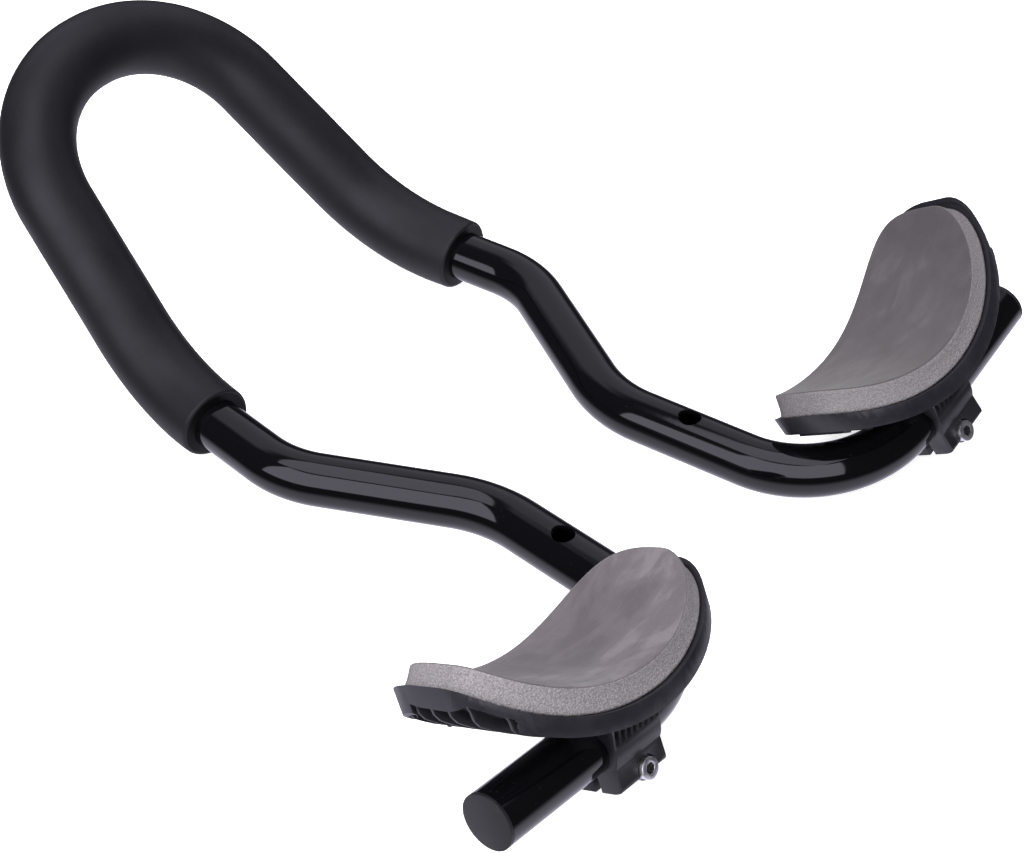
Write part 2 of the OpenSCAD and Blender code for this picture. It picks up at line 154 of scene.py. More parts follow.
def sleeve_look(low, high):
    def build(n, shader, where):
        """Closed-cell foam skin: fine pores, shallow dents, and rubbed lighter patches."""
        pores = n.noise(where, 1500, 2, 0.7)
        cells = n.add("ShaderNodeTexVoronoi", Vector=where, Scale=700.0).outputs["Distance"]
        dents = n.noise(where, 38, 2)
        rubbed = n.span(n.noise(where, 22, 4, 0.6), 0.42, 0.72)
        base = n.mix(rubbed, low, high)
        pale = tuple(2.2 * v for v in high)
        n.put(shader.inputs["Base Color"], n.mix(n.span(pores, 0.62, 0.75, 0.0, 0.4), base, pale))
        n.put(shader.inputs["Roughness"], n.span(dents, 0.3, 0.7, 0.44, 0.58))
        height = n.math("ADD", n.math("MULTIPLY", pores, 0.25), n.math("MULTIPLY", cells, 0.2))
        bump(n, shader, n.math("ADD", height, n.math("MULTIPLY", dents, 1.6)), 0.0001)
    return build


def moulded_look(dark, light, low, high):
    def build(n, shader, where):
        """Moulded plastic: fine spark-eroded grain, flow marks, and paler scuffs."""
        grain = n.noise(where, 1300, 2, 0.6)
        flow = n.noise(where, 45, 4, 0.6)
        scuff = n.span(n.noise(where, 170, 3, 0.7), 0.6, 0.74)
        base = n.mix(n.span(flow, 0.35, 0.7), dark, light)
        colour = n.mix(n.math("MULTIPLY", scuff, 0.35), base, (0.03, 0.03, 0.034))
        n.put(shader.inputs["Base Color"], colour)
        n.put(shader.inputs["Roughness"], n.span(flow, 0.3, 0.7, low, high))
        bump(n, shader, n.math("ADD", n.math("MULTIPLY", grain, 0.4), flow), 0.00005)
    return build


def steel_look(n, shader, where):
    """Zinc-plated steel: soft mottling and small stains."""
    stain = n.noise(where, 420, 4, 0.6)
    colour = n.ramp(stain, [(0.3, (0.72, 0.72, 0.73)), (0.7, (0.95, 0.95, 0.96))])
    n.put(shader.inputs["Base Color"], colour)
    n.put(shader.inputs["Roughness"], n.span(stain, 0.3, 0.7, 0.34, 0.5))
    bump(n, shader, n.noise(where, 2400, 2), 0.00002)


def suede_look(n, shader, where):
    """Short nap that is brushed darker and lighter in patches; the right pad is painted darker, as
    painted shade.
    """
    fibres = n.noise(where, 2600, 2, 0.7)
    fine = n.noise(where, 620, 3, 0.65)
    brushed = n.add("ShaderNodeMapping", Vector=where, Scale=(14.0, 62.0, 30.0),
                    Rotation=(0.3, 0.0, 0.5))
    strokes = n.noise(brushed.outputs[0], 1.6, 4, 0.62, 0.7)
    patches = n.noise(where, 34, 3, 0.5, 0.9)
    tone = n.math("ADD", n.math("MULTIPLY", strokes, 0.45), n.math("MULTIPLY", patches, 0.55))
    base = n.ramp(tone, [(0.41, (0.067, 0.0565, 0.0655)), (0.47, (0.083, 0.0705, 0.081)),
                         (0.53, (0.09, 0.077, 0.088)), (0.6, (0.128, 0.1125, 0.124))])
    base = n.mix(n.span(fine, 0.55, 0.8, 0.0, 0.22), base, (0.14, 0.128, 0.136))
    # Painted shade: suede on the right (x above 0.03 m) is mixed towards a darker tone.
    side = n.add("ShaderNodeSeparateXYZ", Vector=where).outputs[0]
    base = n.mix(n.span(side, -0.03, 0.03, 0.0, 0.66), base, (0.03, 0.0255, 0.0295))
    base = n.mix(n.span(fibres, 0.3, 0.5, 0.3, 0.0), base, (0.05, 0.043, 0.048))
    n.put(shader.inputs["Base Color"], base)
    height = n.math("ADD", n.math("MULTIPLY", fibres, 0.6), n.math("MULTIPLY", fine, 0.8))
    bump(n, shader, height, 0.00012)


def cut_foam_look(n, shader, where):
    """Cut face of the foam block: open cells that show as light and dark specks."""
    cells = n.add("ShaderNodeTexVoronoi", Vector=where, Scale=1150.0).outputs["Distance"]
    specks = n.noise(where, 1700, 2, 0.75)
    soft = n.noise(where, 60, 3)
    base = n.ramp(specks, [(0.36, (0.115, 0.105, 0.1145)), (0.5, (0.175, 0.161, 0.173)),
                           (0.66, (0.25, 0.233, 0.246))])
    base = n.mix(n.span(cells, 0.0, 0.16, 0.25, 0.0), base, (0.08, 0.07, 0.078))
    base = n.mix(n.span(soft, 0.4, 0.65, 0.0, 0.25), base, (0.19, 0.175, 0.187))
    # Painted shade: cut foam on the right pad (x above 0.03 m) is mixed a little darker.
    side = n.add("ShaderNodeSeparateXYZ", Vector=where).outputs[0]
    base = n.mix(n.span(side, -0.03, 0.03, 0.0, 0.25), base, (0.07, 0.063, 0.068))
    n.put(shader.inputs["Base Color"], base)
    bump(n, shader, n.math("ADD", cells, n.math("MULTIPLY", specks, 0.6)), 0.0002)


gloss_paint = material("gloss_black_coat", paint_look, Specular_IOR_Level=0.5)
sleeve_foam = material("sleeve_foam_skin",
                       sleeve_look((0.0052, 0.0049, 0.0065), (0.0078, 0.0075, 0.0096)),
                       Specular_IOR_Level=0.34)
sleeve_cut = material("sleeve_foam_cut", sleeve_look((0.002, 0.002, 0.0024), (0.0035, 0.0034, 0.004)),
                      Specular_IOR_Level=0.12)
cup_plastic = material("cup_moulded_plastic",
                       moulded_look((0.0085, 0.0081, 0.0115), (0.0135, 0.013, 0.0175), 0.34, 0.5))
plug_plastic = material("plug_moulded_plastic",
                        moulded_look((0.007, 0.0068, 0.0085), (0.0105, 0.0102, 0.0125), 0.46, 0.6))
plated_steel = material("plated_steel", steel_look, Metallic=1.0)
suede = material("pad_suede", suede_look, Roughness=0.92, Sheen_Weight=0.2, Sheen_Roughness=0.5)
cut_foam = material("pad_cut_foam", cut_foam_look, Roughness=0.95)
glue_line = material("pad_glue_line", sleeve_look((0.07, 0.06, 0.066), (0.1, 0.088, 0.095)),
                     Specular_IOR_Level=0.1)
# Painted shade: near-black material for inside the bolt's hexagon socket, where the plated steel lies
# in shade.
socket_painted_shade = material("bolt_socket", sleeve_look((0.01, 0.01, 0.011), (0.03, 0.03, 0.032)),
                       Specular_IOR_Level=0.4)
hook_patch = material("pad_hook_patch", sleeve_look((0.006, 0.006, 0.007), (0.009, 0.009, 0.01)),
                      Specular_IOR_Level=0.2)


# CAD nodes keep their meshes and get the materials

LOOKS = {
    "bar_tube": gloss_paint, "foam_sleeve": sleeve_foam,
    "end_plug": plug_plastic, "forearm_cup": cup_plastic,
    "clamp_bolt": plated_steel, "clamp_washer": plated_steel, "clamp_nut": plated_steel,
    "pad_foam": cut_foam, "pad_cover": suede, "pad_patch": hook_patch,
}


def short_name(name):
    for side in ("left_", "right_"):
        if name.startswith(side):
            return name[len(side):]
    return name


for name, obj in nodes.items():
    obj.data.materials.clear()
    obj.data.materials.append(LOOKS[short_name(name)])


# Sizes in millimetres, as in the part's source

TUBE_R = 11.1
BORE_R = 9.1
FOAM_R = 16.6
FOAM_HOLE_R = 11.22
HOLE_R = 4.5
HOLE_CHAMFER = 0.6
FOAM_PAST = {"left": 3.2, "right": 12.6}
RISE, SWEEP = math.radians(8.7), math.radians(2.5)
STUB = Vector((math.cos(RISE) * math.cos(SWEEP), math.cos(RISE) * math.sin(SWEEP),
               math.sin(RISE)))
FRONT, LEG_FOOT = Vector((51.7, 298.4, 98.1)), Vector((71.5, 191.9, 7.3))
WAIST_OUT, WAIST_IN = Vector((79.6, 114.7, 5.4)), Vector((39.5, 39.1, 0))
ELBOW = Vector((48.8, -74.8, 0))
STUB_END = ELBOW + 125.2 * STUB
BOLT_HOLE_X = WAIST_IN.x + 39.1 / (39.1 + 74.8) * (ELBOW.x - WAIST_IN.x)
LEG_FOOT_R, WAIST_OUT_R, WAIST_IN_R, ELBOW_R = 88, 45.5, 55, 50
FRONT_R = (FRONT.x - 1) / math.tan(Vector((1, 0, 0)).angle(LEG_FOOT - FRONT) / 2)

CLAMP_STATION = 62.4
TILT = {"left": math.radians(28.2), "right": math.radians(34.5)}
FLOOR_R, FLOOR_Z, VALLEY_SHIFT = 84.6, 19.1, 0.2
AXIS_Z = FLOOR_R + FLOOR_Z
CLIMB_OUT, CLIMB_IN = math.radians(51), math.radians(40)
PAD_MID_Y, PAD_FRONT, PAD_REAR = -2.4, 39.5, 28.8
SQUARE_FRONT, SQUARE_REAR = 4.4, 2.0
ROUND_OUT, ROUND_IN = 3.7, 3.0
PAD_BOTTOM_R = FLOOR_R - 0.6
PAD_TOP_R = PAD_BOTTOM_R - 9.5 - 0.9
BOLT_X, BOLT_Z = -2.0, -15.4


# Sizes in millimetres that only the looks have

SLEEVE_SLACK, SLEEVE_UNEVEN = 0.12, 0.16
SLEEVE_EDGE_R = 1.3
END_SQUEEZE, END_SQUEEZE_RUN = 0.35, 7
CUT_SHORTER, CUT_LEAN, CUT_FADE = 2.6, 0.6, 26
CUT_LOW_SIDE = Vector((-1.16, 0.38, -0.71))

# Angles that the pad's top reaches past its foot: inboard, and outboard on the right
PAD_LEAN_IN, PAD_LEAN_OUT = 0.036, 0.018
PAD_EDGE_R, PAD_EDGE_TOP, PAD_EDGE_INSET = 0.9, 0.65, 0.05
PAD_HOLLOW, PAD_UNEVEN = 0.35, 0.16

CUP_LONGER = 0.024
LUG_TOP, LUG_SHORTER = -3, 0.11
SLOT_TOP, SLOT_RIM_TOP = 3.2, 9.5
RIB_HALF, RIB_ROOT, RIB_DEPTH = 0.7, 1.6, 4.6


def smoothstep(v, low, high):
    t = min(1.0, max(0.0, (v - low) / (high - low)))
    return t * t * (3 - 2 * t)


def mirrored(v):
    return Vector((-v.x, v.y, v.z))


def link_mesh(name, verts, faces, materials, face_kinds=None, scale=0.001):
    """New smooth-shaded object from points in millimetres."""
    mesh = bpy.data.meshes.new(name)
    mesh.from_pydata([tuple(scale * c for c in v) for v in verts], [], faces)
    for m in materials:
        mesh.materials.append(m)
    if face_kinds is not None:
        mesh.polygons.foreach_set("material_index", face_kinds)
    mesh.polygons.foreach_set("use_smooth", [True] * len(mesh.polygons))
    mesh.update()
    obj = bpy.data.objects.new(name, mesh)
    bpy.context.scene.collection.objects.link(obj)
    return obj


def outward(obj):
    """Makes the faces of a closed mesh point outwards."""
    cleaner = bmesh.new()
    cleaner.from_mesh(obj.data)
    bmesh.ops.recalc_face_normals(cleaner, faces=cleaner.faces)
    cleaner.to_mesh(obj.data)
    cleaner.free()


# Bent tube and sleeve as smooth sweeps along the centre line

def path_stations(points, radii, turn_step=2.0, run_step=4.0):
    """Points and directions along a path that is bent at its inner corners."""
    out = [(points[0], (points[1] - points[0]).normalized())]

    def run_to(point, direction):
        start = out[-1][0]
        steps = max(1, math.ceil((point - start).length / run_step))
        out.extend((start.lerp(point, k / steps), direction) for k in range(1, steps + 1))

    for i in range(1, len(points) - 1):
        into = (points[i] - points[i - 1]).normalized()
        leave = (points[i + 1] - points[i]).normalized()
        turn = into.angle(leave)
        inward = (leave - into * math.cos(turn)).normalized()
        start = points[i] - into * radii[i] * math.tan(turn / 2)
        run_to(start, into)
        steps = max(2, math.ceil(math.degrees(turn) / turn_step))
        for k in range(1, steps + 1):
            a = turn * k / steps
            out.append((start + radii[i] * (math.sin(a) * into + (1 - math.cos(a)) * inward),
                        math.cos(a) * into + math.sin(a) * inward))
    run_to(points[-1], (points[-1] - points[-2]).normalized())
    return out


def sweep(name, path, sides, radius_at, hole_r, materials, end_kind, slide_at=None):
    """Pipe along stations, in millimetres.

    radius_at(place, left over, angle) gives the outer radius, and slide_at, where there is
    one, how far a point of the rim moves along the pipe.
    """
    lengths = [0.0]
    for (a, _), (b, _) in zip(path, path[1:]):
        lengths.append(lengths[-1] + (b - a).length)
    total = lengths[-1]
    across = Vector((0, 0, 1))
    verts, outer, inner = [], [], []
    for (point, along), place in zip(path, lengths):
        across = (across - across.dot(along) * along).normalized()
        side = along.cross(across)
        rim = [math.cos(j * math.tau / sides) * across + math.sin(j * math.tau / sides) * side
               for j in range(sides)]
        left_over = total - place
        slide = [slide_at(place, left_over, along, v) * along if slide_at else Vector()
                 for v in rim]
        outer.append([len(verts) + j for j in range(sides)])
        verts += [point + slide[j] + radius_at(place, left_over, j * math.tau / sides) * rim[j]
                  for j in range(sides)]
        inner.append([len(verts) + j for j in range(sides)])
        verts += [point + slide[j] * hole_r / FOAM_R + hole_r * rim[j] for j in range(sides)]
    faces, kinds = [], []

    def band(a, b, kind):
        for j in range(sides):
            k = (j + 1) % sides
            faces.append((a[j], a[k], b[k], b[j]))
            kinds.append(kind)

    for a, b in zip(outer, outer[1:]):
        band(a, b, 0)
    for a, b in zip(inner, inner[1:]):
        band(b, a, end_kind)
    band(inner[0], outer[0], end_kind)
    band(outer[-1], inner[-1], end_kind)
    obj = link_mesh(name, verts, faces, materials, kinds)
    outward(obj)
    return obj


def round_body(name, profile, sides, place):
    """Closed body turned about Z from (radius, height) pairs, then put at a place."""
    turns = [j * math.tau / sides for j in range(sides)]
    verts = [place + Vector((r * math.cos(a), r * math.sin(a), z)) for r, z in profile for a in turns]
    faces = [tuple(range(sides))[::-1], tuple(range(len(verts) - sides, len(verts)))]
    for k in range(len(profile) - 1):
        for j in range(sides):
            a, b = k * sides, (k + 1) * sides
            faces.append((a + j, a + (j + 1) % sides, b + (j + 1) % sides, b + j))
    return link_mesh(name, verts, faces, [gloss_paint])


def baked(obj):
    """Replaces an object's mesh by the result of its modifiers."""
    bpy.context.view_layer.update()
    depsgraph = bpy.context.evaluated_depsgraph_get()
    result = bpy.data.meshes.new_from_object(obj.evaluated_get(depsgraph))
    obj.modifiers.clear()
    obj.data = result


def sharp_above(obj, angle):
    obj.data.set_sharp_from_angle(angle=math.radians(angle))


def smooth_tube():
    half = [FRONT, LEG_FOOT, WAIST_OUT, WAIST_IN, ELBOW, STUB_END]
    radii = [FRONT_R, LEG_FOOT_R, WAIST_OUT_R, WAIST_IN_R, ELBOW_R, 0]
    path = path_stations([mirrored(v) for v in reversed(half)] + half, radii[::-1] + radii)
    tube = sweep("tube_gloss", path, 80, lambda place, left_over, angle: TUBE_R, BORE_R,
                 [gloss_paint], 0)
    rim = math.sqrt(TUBE_R ** 2 - HOLE_R ** 2) - HOLE_CHAMFER
    flare = [(HOLE_R + 1.1 * t * t, rim + 2.2 * t) for t in (0, 0.25, 0.5, 0.75, 1.0, 1.3)]
    profile = [(HOLE_R, -20.0), (HOLE_R, rim - 1.0)] + flare
    for side in (-1, 1):
        cutter = round_body("hole_cutter", profile, 64, Vector((side * BOLT_HOLE_X, 0, 0)))
        cut = tube.modifiers.new("hole", "BOOLEAN")
        cut.operation, cut.solver, cut.object = "DIFFERENCE", "EXACT", cutter
        baked(tube)
        bpy.data.objects.remove(cutter)
    sharp_above(tube, 35)
    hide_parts("bar_tube")
    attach(tube, "bar")


def smooth_sleeve():
    def end_of(side):
        leave = (WAIST_OUT - LEG_FOOT).normalized()
        reach = LEG_FOOT_R * math.tan((LEG_FOOT - FRONT).angle(leave) / 2) + FOAM_PAST[side]
        return LEG_FOOT + leave * reach
    right = [FRONT, LEG_FOOT, end_of("right")]
    left = [mirrored(v) for v in (end_of("left"), LEG_FOOT, FRONT)]
    radii = [0, LEG_FOOT_R, FRONT_R, FRONT_R, LEG_FOOT_R, 0]
    path = path_stations(left + right, radii, turn_step=1.6, run_step=2.0)
    finer = [0.1, 0.35, 0.75, SLEEVE_EDGE_R]
    start, along = path[0]
    path[1:1] = [(start + d * along, along) for d in finer]
    stop, along = path[-1]
    path[-1:-1] = [(stop - d * along, along) for d in reversed(finer)]

    def radius(place, left_over, angle):
        end = min(place, left_over)
        short_of_edge = max(0.0, SLEEVE_EDGE_R - end)
        rounding = SLEEVE_EDGE_R - math.sqrt(max(0.0, SLEEVE_EDGE_R ** 2 - short_of_edge ** 2))
        spot = Vector((place * 0.02, 1.6 * math.cos(angle), 1.6 * math.sin(angle)))
        return (FOAM_R - SLEEVE_SLACK - rounding + SLEEVE_UNEVEN * noise.noise(spot)
                - END_SQUEEZE * math.exp(-end / END_SQUEEZE_RUN))

    def slanted_cut(place, left_over, along, rim):
        """The cut ends lean: their lower sides are a little shorter than their upper sides."""
        end = min(place, left_over)
        low_side = (CUT_LOW_SIDE - CUT_LOW_SIDE.dot(along) * along).normalized()
        share = 1 - CUT_LEAN + CUT_LEAN * low_side.dot(rim)
        return math.copysign(CUT_SHORTER * share * (1 - smoothstep(end, 0, CUT_FADE)),
                             left_over - place)

    sleeve = sweep("sleeve_foam_body", path, 96, radius, FOAM_HOLE_R, [sleeve_foam, sleeve_cut], 1,
                   slanted_cut)
    sharp_above(sleeve, 60)
    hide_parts("foam_sleeve")
    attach(sleeve, "bar")


# Forearm pads

def rest_frame(side):
    """Matrix of a tilted forearm rest, in millimetres."""
    forward = Vector((0, 0, 1)).cross(STUB).normalized()
    up = STUB.cross(forward)
    t = TILT[side]
    y_dir = math.cos(t) * forward - math.sin(t) * up
    z_dir = math.sin(t) * forward + math.cos(t) * up
    at = ELBOW + CLAMP_STATION * STUB
    m = Matrix(((STUB.x, y_dir.x, z_dir.x, at.x), (STUB.y, y_dir.y, z_dir.y, at.y),
                (STUB.z, y_dir.z, z_dir.z, at.z), (0, 0, 0, 1)))
    return m if side == "right" else Matrix.Diagonal((-1, 1, 1, 1)) @ m


def on_cup(frame_of, angle, y, radius):
    """Point at an angle and a radius about the forearm's axis, y along it from the pad's middle."""
    return frame_of @ Vector((radius * math.sin(angle) - VALLEY_SHIFT, y + PAD_MID_Y,
                              AXIS_Z - radius * math.cos(angle)))


def outline(t):
    """Angle climbed and place along the forearm, for one direction of the pad's outline."""
    c, s = math.cos(t), math.sin(t)
    n = SQUARE_REAR if s < 0 else ROUND_OUT if c > 0 else ROUND_IN
    climb = CLIMB_OUT if c > 0 else CLIMB_IN
    reach = PAD_FRONT if s > 0 else PAD_REAR
    return (climb * math.copysign(abs(c) ** (2 / n), c),
            reach * math.copysign(abs(s) ** (2 / n), s))


def even_outline(count):
    """Outline points at even distances, so that squared corners get no long steps."""
    fine = [outline(k * math.tau / 2880) for k in range(2880)]
    flat = [Vector((FLOOR_R * a, y)) for a, y in fine]
    run = [0.0]
    for a, b in zip(flat, flat[1:] + flat[:1]):
        run.append(run[-1] + (b - a).length)
    out, k = [], 0
    for i in range(count):
        want = run[-1] * i / count
        while run[k + 1] < want:
            k += 1
        share = (want - run[k]) / max(1e-9, run[k + 1] - run[k])
        a, b = fine[k], fine[(k + 1) % len(fine)]
        out.append((a[0] + share * (b[0] - a[0]), a[1] + share * (b[1] - a[1])))
    return out


def pad(side):
    """Foam block with a suede top: crowned top, soft edge, slightly hollow cut sides."""
    frame_of = rest_frame(side)
    count = 220
    rim = even_outline(count)
    thick = PAD_BOTTOM_R - PAD_TOP_R
    seed = Vector((3.1, 7.7, 1.9)) if side == "left" else Vector((9.2, 2.4, 5.6))

    def point(direction, share, depth, inset):
        a, y = rim[direction]
        scale = share * (1 - inset / math.hypot(FLOOR_R * a, y))
        a, y = a * scale, y * scale
        high = 1 - depth / thick
        if a < 0:
            a -= high * share ** 3 * PAD_LEAN_IN * (a / CLIMB_IN) ** 2
        elif side == "right":
            a += high * share ** 3 * PAD_LEAN_OUT * (a / CLIMB_OUT) ** 2
        return on_cup(frame_of, a, y, PAD_TOP_R + depth)

    rings, kinds = [], []
    shares = [0.02] + [k / 26 for k in range(1, 26)] + [0.975]

    def swell(direction, share):
        a, y = rim[direction]
        spot = Vector((a * share * 3.2, y * share * 0.05, 0)) + seed
        return 0.28 * noise.noise(spot) + 0.12 * noise.noise(spot * 3.1)

    for share in shares:
        crown = 0.3 * share ** 6 + 0.35 - 0.35 * (1 - share ** 2)
        rings.append([point(j, share, crown + swell(j, share) * (1 - share ** 8), 0)
                      for j in range(count)])
        kinds.append(0)
    for k in range(1, 6):
        a = k * math.pi / 10
        depth = PAD_EDGE_TOP + PAD_EDGE_R * (1 - math.cos(a)) * 0.9
        inset = PAD_EDGE_INSET + PAD_EDGE_R * (1 - math.sin(a))
        rings.append([point(j, 1.0, depth, inset) for j in range(count)])
        kinds.append(0 if k < 4 else 2 if k == 4 else 1)
    for k in range(1, 12):
        depth = PAD_EDGE_TOP + PAD_EDGE_R + (thick - PAD_EDGE_TOP - PAD_EDGE_R) * k / 11
        hollow = PAD_HOLLOW * math.sin(math.pi * k / 11)
        spots = [Vector((a * 9, y * 0.13, depth * 0.25)) + seed for a, y in rim]
        rings.append([point(j, 1.0, depth, PAD_EDGE_INSET + hollow + PAD_UNEVEN * noise.noise(spot))
                      for j, spot in enumerate(spots)])
        kinds.append(1)
    for share in (0.9, 0.5, 0.05):
        rings.append([point(j, share, thick, 0) for j in range(count)])
        kinds.append(1)
    verts = [v for ring in rings for v in ring]
    faces, face_kinds = [], []
    for k in range(len(rings) - 1):
        for j in range(count):
            n = (j + 1) % count
            a, b = k * count, (k + 1) * count
            faces.append((a + j, a + n, b + n, b + j))
            face_kinds.append(kinds[k + 1])
    faces.append(tuple(range(count)))
    face_kinds.append(0)
    faces.append(tuple(range(len(verts) - count, len(verts)))[::-1])
    face_kinds.append(1)
    obj = link_mesh(side + "_pad_body", verts, faces, [suede, cut_foam, glue_line], face_kinds)
    outward(obj)
    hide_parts(side + "_pad_foam", side + "_pad_cover")
    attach(obj, side + "_rest")


# Moulded and turned nodes: copies with their edges eased, so that edges catch the light

def eased(name, width, angle=28, reshape=None, cutters=()):
    source = nodes[name]
    mesh = source.data.copy()
    obj = bpy.data.objects.new(name + "_eased", mesh)
    bpy.context.scene.collection.objects.link(obj)
    work = bmesh.new()
    work.from_mesh(mesh)
    bmesh.ops.remove_doubles(work, verts=work.verts, dist=2e-6)
    bmesh.ops.dissolve_degenerate(work, edges=work.edges, dist=2e-6)
    bmesh.ops.dissolve_limit(work, angle_limit=math.radians(0.4), verts=work.verts, edges=work.edges)
    if reshape:
        reshape(work)
    work.to_mesh(mesh)
    work.free()
    for cutter in cutters:
        cut = obj.modifiers.new("slots", "BOOLEAN")
        cut.operation, cut.solver, cut.object = "DIFFERENCE", "EXACT", cutter
        baked(obj)
        bpy.data.objects.remove(cutter)
        mesh = obj.data
    mesh.polygons.foreach_set("use_smooth", [True] * len(mesh.polygons))
    bevel = obj.modifiers.new("edges", "BEVEL")
    bevel.width = width
    bevel.segments = 2
    bevel.limit_method = "ANGLE"
    bevel.angle_limit = math.radians(angle)
    bevel.use_clamp_overlap = True
    bevel.harden_normals = True
    baked(obj)
    sharp_above(obj, 40)
    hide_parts(name)
    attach(obj, "bar" if "plug" in name else name.split("_")[0] + "_rest")
    return obj


def cup_reshaper(side):
    """Rounds the cup's front corners as the pad's, shortens its lugs, draws out the right tip."""
    frame_of = rest_frame(side)
    back = frame_of.inverted()

    def squared_reach(along, across, n):
        """How far a squared outline reaches in a direction, where 1 is its half width."""
        return (across ** n + along ** n) ** (-1 / n)

    def reshape(work):
        for v in work.verts:
            p = back @ (v.co * 1000)
            r = math.hypot(p.x + VALLEY_SHIFT, AXIS_Z - p.z)
            a, y = math.atan2(p.x + VALLEY_SHIFT, AXIS_Z - p.z), p.y - PAD_MID_Y
            if p.z < LUG_TOP:
                lift = LUG_SHORTER * (LUG_TOP - p.z) * smoothstep(p.z, -16, -21)
                v.co = frame_of @ Vector((p.x, p.y, p.z + lift)) / 1000
                continue
            if r > FLOOR_R + 10:
                continue
            u = abs(a) / (CLIMB_OUT if a > 0 else CLIMB_IN)
            w = abs(y) / (PAD_FRONT if y > 0 else PAD_REAR)
            size = math.hypot(u, w)
            if size < 0.5:
                continue
            if y > 0:
                n = ROUND_OUT if a > 0 else ROUND_IN
                old_reach = squared_reach(w / size, u / size, SQUARE_FRONT)
                factor = squared_reach(w / size, u / size, n) / old_reach
                factor = 1 + (factor - 1) * smoothstep(size / old_reach, 0.55, 0.9)
                a, y = a * factor, y * factor
            if side == "right" and a > 0:
                a += CUP_LONGER * smoothstep(u, 0.6, 1.0)
            v.co = on_cup(frame_of, a, y, r) / 1000
    return reshape


def bar_faces(first, steps):
    """Faces of a four-sided bar, whose stations of four points start at vertex first."""
    faces = []
    for a in range(first, first + 4 * steps, 4):
        for j in range(4):
            k = (j + 1) % 4
            faces.append((a + j, a + k, a + 4 + k, a + 4 + j))
    last = first + 4 * steps
    return faces + [(first + 3, first + 2, first + 1, first), tuple(range(last, last + 4))]


def tip_cutter(side):
    """Takes the lower part of the skirt away round the outboard tip, so that the ribs show."""
    frame_of = rest_frame(side)
    steps, verts = 60, []
    for k in range(steps + 1):
        t = math.radians(64) - k / steps * math.radians(122)
        a, y = outline(t)
        tangent = max(1e-6, math.hypot(FLOOR_R * a, y))
        fade = min(1.0, k / 9, (steps - k) / 9)
        top = SLOT_RIM_TOP - (SLOT_RIM_TOP - SLOT_TOP) * smoothstep(fade, 0, 1)
        for grow, depth in ((0.7, top), (6.0, top), (6.0, 12.0), (0.7, 12.0)):
            f = 1 + grow / tangent
            verts.append(on_cup(frame_of, a * f, y * f, FLOOR_R + depth))
    obj = link_mesh("tip_cutter", verts, bar_faces(0, steps), [cup_plastic])
    outward(obj)
    return obj


def rib_clearer(side):
    """Clears the straight ribs from under the outboard tip, where tip_ribs puts the curved ones."""
    frame_of = rest_frame(side)
    steps, verts = 12, []
    for k in range(steps + 1):
        a = math.radians(27.5) + k / steps * math.radians(21)
        for y, depth in ((-19, 2.6), (19, 2.6), (19, 9), (-19, 9)):
            verts.append(on_cup(frame_of, a, y, FLOOR_R + depth))
    obj = link_mesh("rib_clearer", verts, bar_faces(0, steps), [cup_plastic])
    outward(obj)
    return obj


def tip_ribs(side):
    """Curved ribs under the outboard tip, across the forearm, as seen through its open slots."""
    frame_of = rest_frame(side)
    verts, faces, steps = [], [], 14
    for y in (-16.5, -8, 0.5, 9, 17.5, 26):
        w = min(0.97, abs(y) / (PAD_FRONT if y > 0 else PAD_REAR))
        n = ROUND_OUT if y > 0 else SQUARE_REAR
        outer = CLIMB_OUT * (1 - w ** n) ** (1 / n) - 0.7 / FLOOR_R
        first = len(verts)
        for k in range(steps + 1):
            a = outer - (outer - math.radians(22)) * k / steps
            belly = smoothstep(k / steps, 0.0, 0.2) * (1 - smoothstep(k / steps, 0.7, 1.0))
            drop = 2.4 + RIB_DEPTH * belly
            for half, depth in ((-RIB_HALF, RIB_ROOT), (RIB_HALF, RIB_ROOT),
                                (RIB_HALF, drop), (-RIB_HALF, drop)):
                verts.append(on_cup(frame_of, a, y + half, FLOOR_R + depth))
        faces += bar_faces(first, steps)
    obj = link_mesh(side + "_tip_ribs", verts, faces, [cup_plastic])
    outward(obj)
    bevel = obj.modifiers.new("edges", "BEVEL")
    bevel.width, bevel.segments = 0.0003, 2
    baked(obj)
    sharp_above(obj, 40)
    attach(obj, side + "_rest")


def paint_socket_shade(obj, side):
    """Gives the faces inside the bolt's hexagon socket a near-black material: painted shade of the
    recess.
    """
    back = rest_frame(side).inverted()
    obj.data.materials.append(socket_painted_shade)
    for face in obj.data.polygons:
        p = back @ (face.center * 1000)
        if math.hypot(p.x - BOLT_X, p.z - BOLT_Z) < 2.2 and -13.5 < p.y < -11.2:
            face.material_index = 1


smooth_tube()
smooth_sleeve()
for side in ("left", "right"):
    pad(side)
    eased(side + "_forearm_cup", 0.00035, reshape=cup_reshaper(side),
          cutters=(tip_cutter(side), rib_clearer(side)))
    tip_ribs(side)
    paint_socket_shade(eased(side + "_clamp_bolt", 0.00035), side)
    eased(side + "_end_plug", 0.0004)


# Studio: a pale floor, soft boxes, and a reflected room as in the photo

